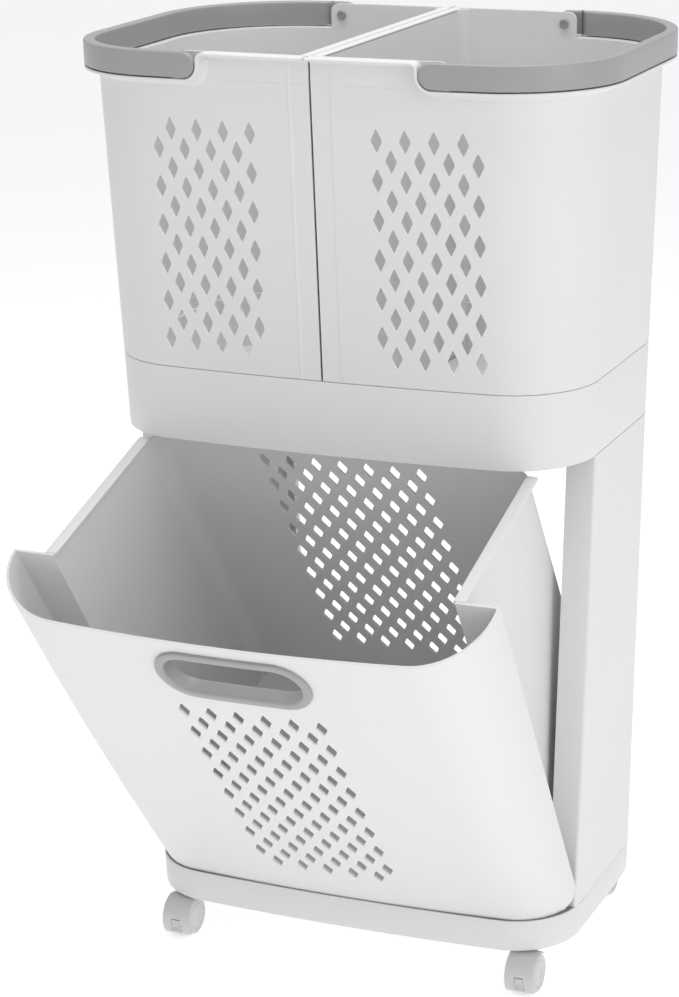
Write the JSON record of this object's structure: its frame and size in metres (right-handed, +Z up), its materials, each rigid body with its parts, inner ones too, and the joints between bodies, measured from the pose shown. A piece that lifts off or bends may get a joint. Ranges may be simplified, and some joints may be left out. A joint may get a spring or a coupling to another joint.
{
  "type": "laundry cart",
  "caption": "Rolling plastic laundry cart with a tilt-out perforated bin below and two lift-out perforated baskets with swing handles above",
  "frame": {"origin": "on the floor, under the middle of the box around the whole cart with its bin open", "axes": "+Z up, +X to the right seen from the front, +Y from the front to the back; the bin opens towards -Y"},
  "size_m": [0.5262, 0.5918, 0.908],
  "materials": {
    "white_plastic": "satin moulded",
    "grey_plastic": "satin moulded",
    "pale_plastic": "satin moulded",
    "pin_plastic": "satin moulded",
    "steel": "turned"
  },
  "bodies": {
    "carcass": {"base_tray": "white_plastic", "side_post_right": "white_plastic", "side_post_left": "white_plastic", "upper_tray": "white_plastic", "bin_pivot_pin_right": "steel", "bin_pivot_pin_left": "steel"},
    "bin": {"bin_tub": "white_plastic", "bin_grip_bezel": "grey_plastic"},
    "basket_right": {"basket_right": "white_plastic", "handle_pin_right_front": "pin_plastic", "handle_pin_right_rear": "pin_plastic"},
    "handle_right": {"handle_right": "grey_plastic"},
    "basket_left": {"basket_left": "white_plastic", "handle_pin_left_front": "pin_plastic", "handle_pin_left_rear": "pin_plastic"},
    "handle_left": {"handle_left": "grey_plastic"},
    "caster_front_left": {"caster_front_left_hood": "pale_plastic", "caster_front_left_stem": "steel", "caster_front_left_axle": "steel"},
    "caster_front_left_wheel_right": {"caster_front_left_wheel_right": "pale_plastic"},
    "caster_front_left_wheel_left": {"caster_front_left_wheel_left": "pale_plastic"},
    "caster_front_left_brake_tab": {"caster_front_left_brake_tab": "pale_plastic"},
    "caster_front_right": {"caster_front_right_hood": "pale_plastic", "caster_front_right_stem": "steel", "caster_front_right_axle": "steel"},
    "caster_front_right_wheel_right": {"caster_front_right_wheel_right": "pale_plastic"},
    "caster_front_right_wheel_left": {"caster_front_right_wheel_left": "pale_plastic"},
    "caster_front_right_brake_tab": {"caster_front_right_brake_tab": "pale_plastic"},
    "caster_rear_left": {"caster_rear_left_hood": "pale_plastic", "caster_rear_left_stem": "steel", "caster_rear_left_axle": "steel"},
    "caster_rear_left_wheel_right": {"caster_rear_left_wheel_right": "pale_plastic"},
    "caster_rear_left_wheel_left": {"caster_rear_left_wheel_left": "pale_plastic"},
    "caster_rear_right": {"caster_rear_right_hood": "pale_plastic", "caster_rear_right_stem": "steel", "caster_rear_right_axle": "steel"},
    "caster_rear_right_wheel_right": {"caster_rear_right_wheel_right": "pale_plastic"},
    "caster_rear_right_wheel_left": {"caster_rear_right_wheel_left": "pale_plastic"}
  },
  "joints": [
    {"name": "bin_tilt", "type": "hinge", "parent": "carcass", "child": "bin", "pos_m": [0, -0.00481, 0.09521], "axis": [1, 0, 0], "range_deg": [-34.7, 0]},
    {"name": "basket_right_lift", "type": "slide", "parent": "carcass", "child": "basket_right", "axis": [0, 0, 1], "range_m": [0, 0.12]},
    {"name": "handle_right_swing", "type": "hinge", "parent": "basket_right", "child": "handle_right", "pos_m": [0.119, 0.10679, 0.8965], "axis": [0, -1, 0], "range_deg": [0, 90]},
    {"name": "basket_left_lift", "type": "slide", "parent": "carcass", "child": "basket_left", "axis": [0, 0, 1], "range_m": [0, 0.12]},
    {"name": "handle_left_swing", "type": "hinge", "parent": "basket_left", "child": "handle_left", "pos_m": [-0.119, 0.10679, 0.8965], "axis": [0, 1, 0], "range_deg": [0, 90]},
    {"name": "caster_front_left_swivel", "type": "hinge", "parent": "carcass", "child": "caster_front_left", "pos_m": [-0.1866, -0.01121, 0.04], "axis": [0, 0, 1], "continuous": true},
    {"name": "caster_front_left_wheel_right_spin", "type": "hinge", "parent": "caster_front_left", "child": "caster_front_left_wheel_right", "pos_m": [-0.1762, -0.02551, 0.019], "axis": [1, 0, 0], "continuous": true},
    {"name": "caster_front_left_wheel_left_spin", "type": "hinge", "parent": "caster_front_left", "child": "caster_front_left_wheel_left", "pos_m": [-0.197, -0.02551, 0.019], "axis": [1, 0, 0], "continuous": true},
    {"name": "caster_front_left_brake_tab_press", "type": "hinge", "parent": "caster_front_left", "child": "caster_front_left_brake_tab", "pos_m": [-0.1866, -0.04751, 0.021], "axis": [1, 0, 0], "range_deg": [0, 10]},
    {"name": "caster_front_right_swivel", "type": "hinge", "parent": "carcass", "child": "caster_front_right", "pos_m": [0.1866, -0.01121, 0.04], "axis": [0, 0, 1], "continuous": true},
    {"name": "caster_front_right_wheel_right_spin", "type": "hinge", "parent": "caster_front_right", "child": "caster_front_right_wheel_right", "pos_m": [0.197, -0.02551, 0.019], "axis": [1, 0, 0], "continuous": true},
    {"name": "caster_front_right_wheel_left_spin", "type": "hinge", "parent": "caster_front_right", "child": "caster_front_right_wheel_left", "pos_m": [0.1762, -0.02551, 0.019], "axis": [1, 0, 0], "continuous": true},
    {"name": "caster_front_right_brake_tab_press", "type": "hinge", "parent": "caster_front_right", "child": "caster_front_right_brake_tab", "pos_m": [0.1866, -0.04751, 0.021], "axis": [1, 0, 0], "range_deg": [0, 10]},
    {"name": "caster_rear_left_swivel", "type": "hinge", "parent": "carcass", "child": "caster_rear_left", "pos_m": [-0.1866, 0.22479, 0.04], "axis": [0, 0, 1], "continuous": true},
    {"name": "caster_rear_left_wheel_right_spin", "type": "hinge", "parent": "caster_rear_left", "child": "caster_rear_left_wheel_right", "pos_m": [-0.1762, 0.21049, 0.019], "axis": [1, 0, 0], "continuous": true},
    {"name": "caster_rear_left_wheel_left_spin", "type": "hinge", "parent": "caster_rear_left", "child": "caster_rear_left_wheel_left", "pos_m": [-0.197, 0.21049, 0.019], "axis": [1, 0, 0], "continuous": true},
    {"name": "caster_rear_right_swivel", "type": "hinge", "parent": "carcass", "child": "caster_rear_right", "pos_m": [0.1866, 0.22479, 0.04], "axis": [0, 0, 1], "continuous": true},
    {"name": "caster_rear_right_wheel_right_spin", "type": "hinge", "parent": "caster_rear_right", "child": "caster_rear_right_wheel_right", "pos_m": [0.197, 0.21049, 0.019], "axis": [1, 0, 0], "continuous": true},
    {"name": "caster_rear_right_wheel_left_spin", "type": "hinge", "parent": "caster_rear_right", "child": "caster_rear_right_wheel_left", "pos_m": [0.1762, 0.21049, 0.019], "axis": [1, 0, 0], "continuous": true}
  ]
}
